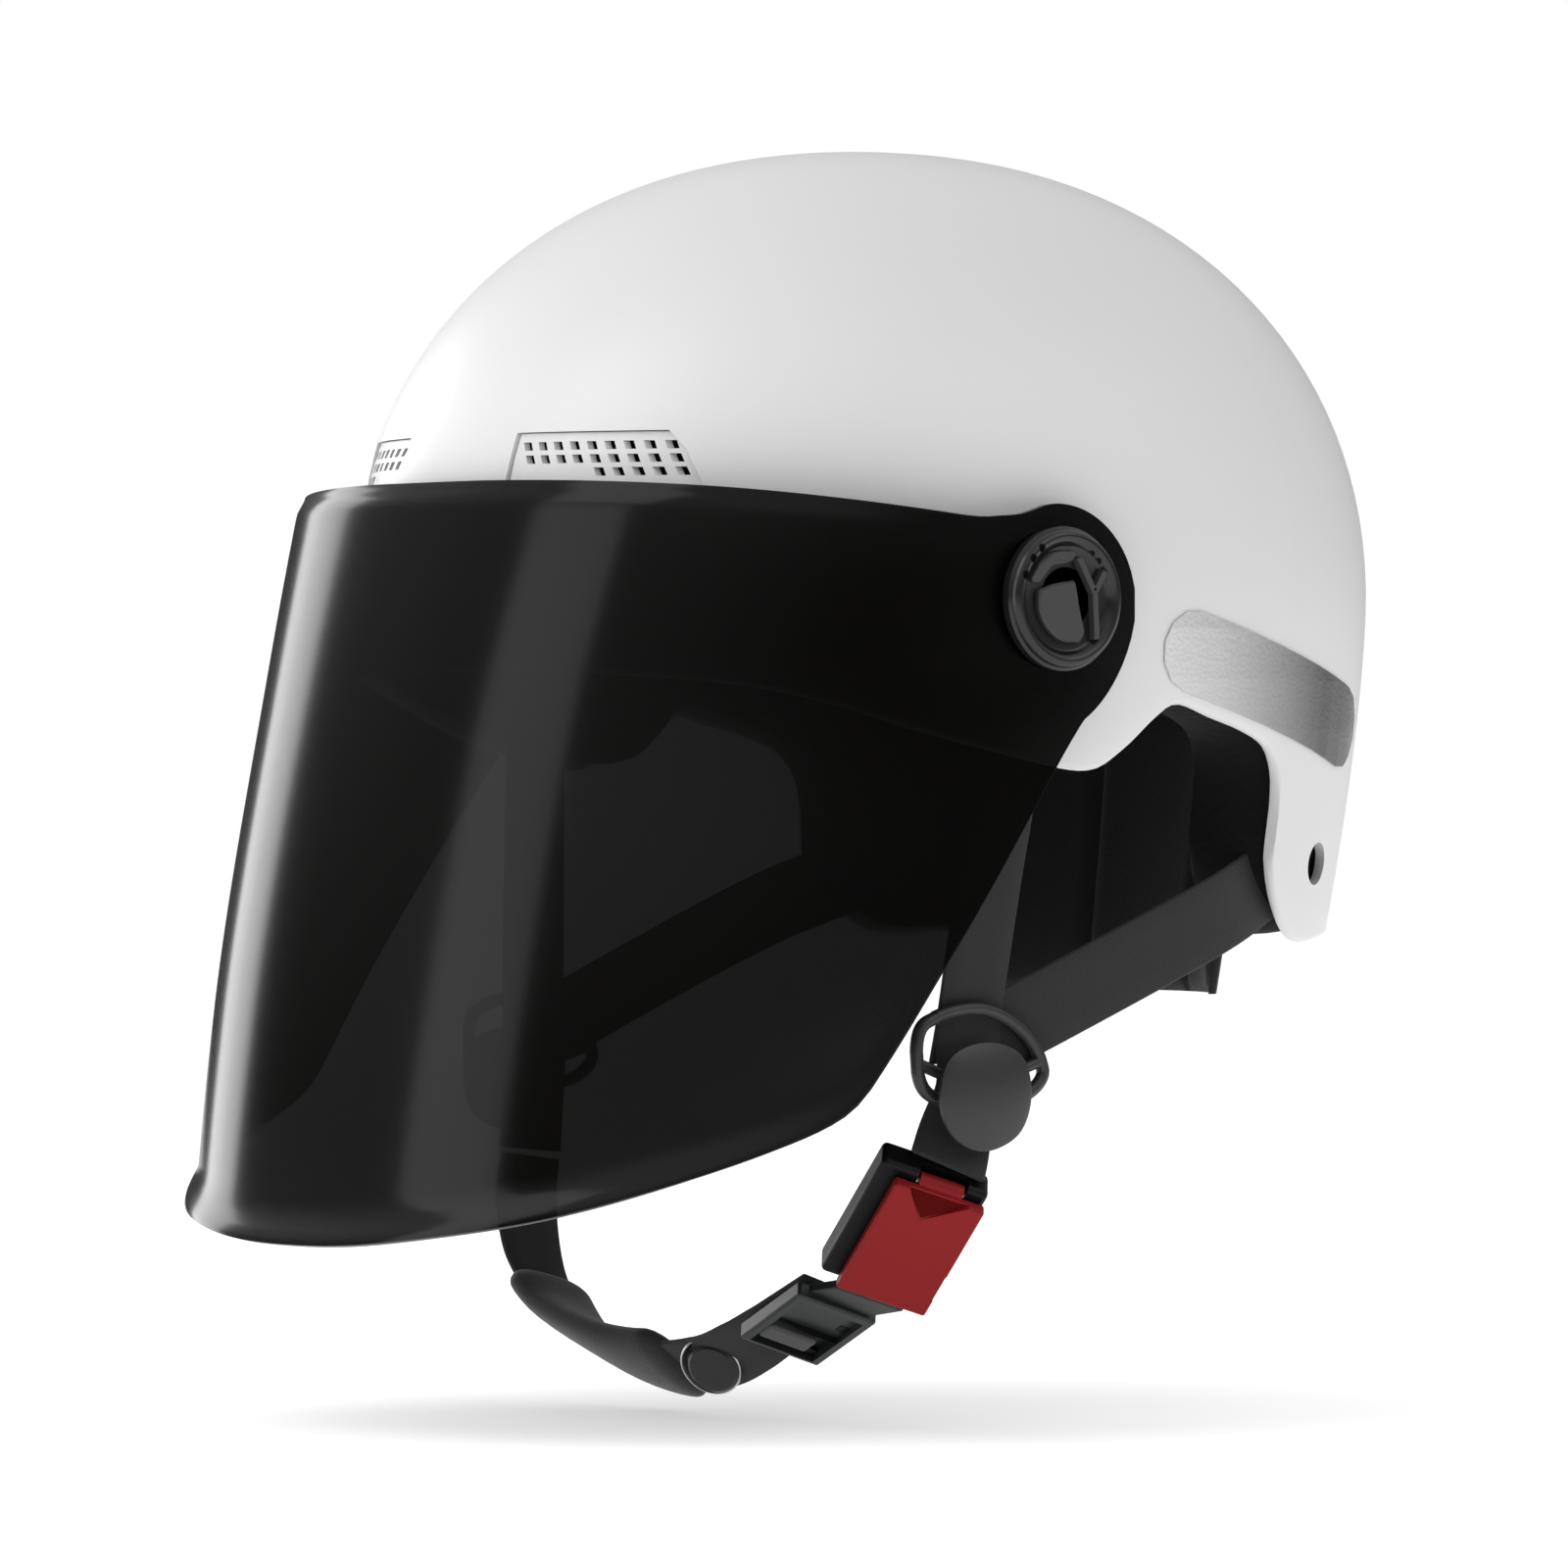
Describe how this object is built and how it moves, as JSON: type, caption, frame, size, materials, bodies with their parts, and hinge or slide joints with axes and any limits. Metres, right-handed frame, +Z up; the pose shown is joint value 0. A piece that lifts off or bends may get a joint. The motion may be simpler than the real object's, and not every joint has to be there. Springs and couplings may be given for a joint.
{
  "type": "open-face riding helmet",
  "caption": "Open-face riding helmet with hard shell, foam liner, long tilting smoked visor and quick-release chin strap.",
  "frame": {"origin": "point of the crown pad that rests on the top of the wearer's head, on the helmet's middle plane", "axes": "+Z up, -Y the way the helmet faces, +X towards the wearer's left"},
  "size_m": [0.2482, 0.3172, 0.3214],
  "materials": {
    "white_gloss": "satin-gloss white moulded shell",
    "foam": "black expanded polystyrene bead foam",
    "comfort_fabric": "black brushed mesh over soft foam",
    "reflective_film": "silver-grey reflective film",
    "smoked_polycarbonate": "dark smoked glossy polycarbonate",
    "black_plastic": "satin black moulded plastic",
    "frame_plastic": "satin green-black moulded plastic",
    "red_plastic": "satin red moulded plastic",
    "steel": "bright plated steel",
    "webbing": "dark grey woven polyester webbing"
  },
  "bodies": {
    "helmet": {"outer_shell": "white_gloss", "vent_grille_left": "white_gloss", "vent_grille_right": "white_gloss", "foam_liner": "foam", "crown_pad": "comfort_fabric", "brow_pad": "comfort_fabric", "side_pad_left": "comfort_fabric", "side_pad_right": "comfort_fabric", "nape_pad": "comfort_fabric", "reflector_left": "reflective_film", "reflector_right": "reflective_film", "pivot_base_left": "black_plastic", "pivot_base_right": "black_plastic", "yoke_ring_left": "black_plastic", "yoke_ring_right": "black_plastic", "yoke_tab_left": "black_plastic", "yoke_tab_right": "black_plastic", "buckle_housing": "black_plastic", "pivot_bolt_left": "steel", "pivot_bolt_right": "steel", "front_rivet_left": "steel", "front_rivet_right": "steel", "rear_rivet_left": "steel", "rear_rivet_right": "steel", "lever_pin": "steel", "front_strap_left": "webbing", "front_strap_right": "webbing", "rear_strap_left": "webbing", "rear_strap_right": "webbing", "buckle_strap": "webbing", "yoke_strap": "webbing"},
    "visor": {"visor": "smoked_polycarbonate"},
    "left_lock": {"lock_cap_left": "black_plastic"},
    "right_lock": {"lock_cap_right": "black_plastic"},
    "buckle_lever": {"buckle_lever": "red_plastic"},
    "chin_strap": {"chin_strap": "webbing", "chin_pad": "comfort_fabric", "snap_cap": "black_plastic", "snap_rim": "steel", "buckle_tongue": "frame_plastic"}
  },
  "joints": [
    {"name": "visor_tilt", "type": "hinge", "parent": "helmet", "child": "visor", "pos_m": [0, -0.033, -0.084], "axis": [-1, 0, 0], "range_deg": [0, 45]},
    {"name": "left_lock_turn", "type": "hinge", "parent": "helmet", "child": "left_lock", "pos_m": [0.1213, -0.033, -0.084], "axis": [1, 0, 0], "range_deg": [0, 40]},
    {"name": "right_lock_turn", "type": "hinge", "parent": "helmet", "child": "right_lock", "pos_m": [-0.1213, -0.033, -0.084], "axis": [1, 0, 0], "range_deg": [0, 40]},
    {"name": "buckle_lever_lift", "type": "hinge", "parent": "helmet", "child": "buckle_lever", "pos_m": [0.09356, -0.05022, -0.22947], "axis": [-0.3901, -0.8633, 0.3201], "range_deg": [0, 25], "stiffness_Nm_per_rad": 0.06},
    {"name": "chin_strap_release", "type": "hinge", "parent": "helmet", "child": "chin_strap", "pos_m": [-0.0894, -0.0405, -0.2262], "axis": [0, 1, 0], "range_deg": [0, 70]}
  ]
}
